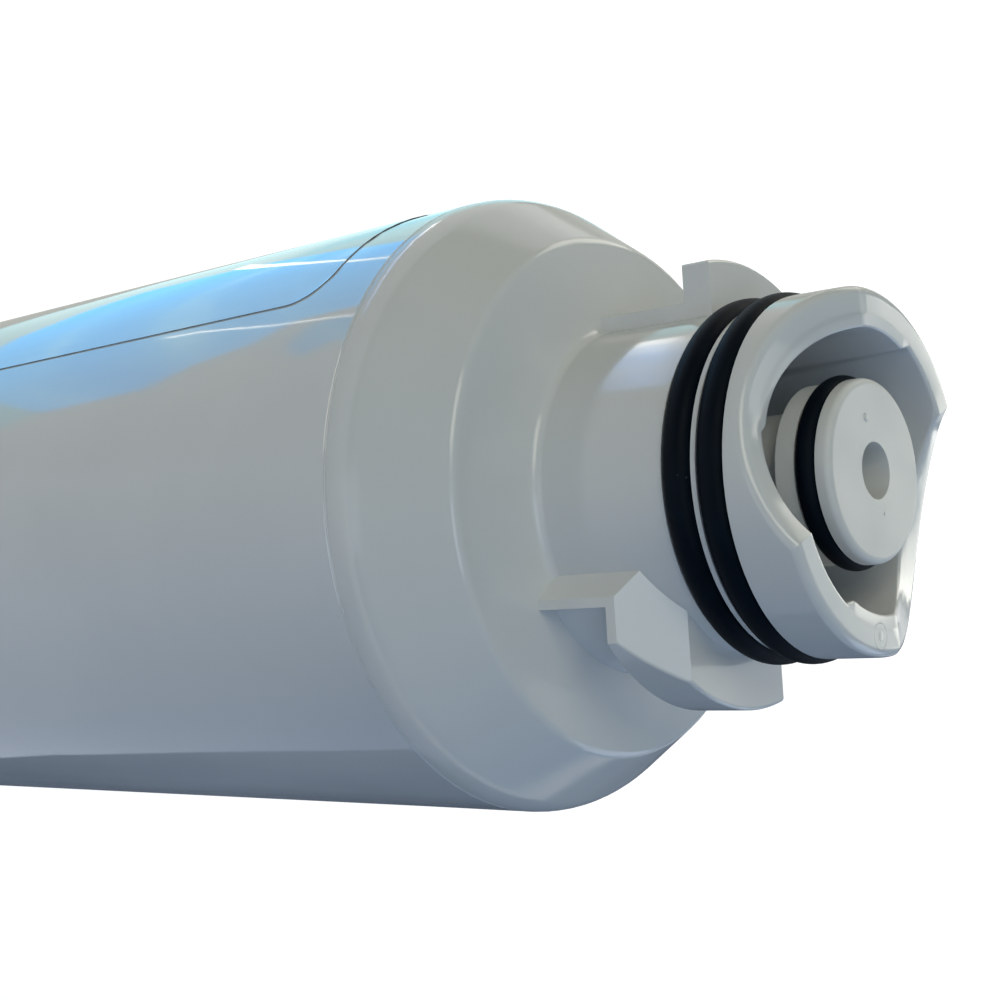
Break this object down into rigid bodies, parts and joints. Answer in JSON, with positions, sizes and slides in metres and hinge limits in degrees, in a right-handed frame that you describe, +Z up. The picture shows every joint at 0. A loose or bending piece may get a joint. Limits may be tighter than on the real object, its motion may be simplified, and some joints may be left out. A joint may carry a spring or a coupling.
{
  "type": "fridge water filter cartridge",
  "caption": "Tall white twist-in cartridge: drafted round housing, cone shoulder, sealed neck with bayonet lugs and cam-shaped rim, central outlet nozzle, finger grip in its base.",
  "frame": {"origin": "centre of the grip end's flat rim, on which the cartridge stands", "axes": "+Z up the cartridge's axis towards the nozzle; -Y is the side that faces the viewer in the picture, with the picture's down side at +X; the lugs lie at +X and -X"},
  "size_m": [0.0562, 0.0562, 0.2225],
  "materials": {
    "housing_plastic": "glossy",
    "head_plastic": "satin",
    "nozzle_plastic": "satin",
    "seal_rubber": "satin",
    "label_film": "glossy",
    "carbon": "matte",
    "inner_plastic": "satin",
    "fibre": "matte",
    "hot_melt": "satin"
  },
  "bodies": {
    "root": {"housing": "housing_plastic", "head": "head_plastic", "nozzle_cap": "nozzle_plastic", "neck_seal_lower": "seal_rubber", "neck_seal_upper": "seal_rubber", "nozzle_seal": "seal_rubber", "label": "label_film", "carbon_block": "carbon", "core_sleeve": "inner_plastic", "prefilter_wrap": "fibre", "outer_net": "inner_plastic", "lower_cap": "inner_plastic", "lower_bond": "hot_melt", "upper_bond": "hot_melt"}
  },
  "joints": []
}
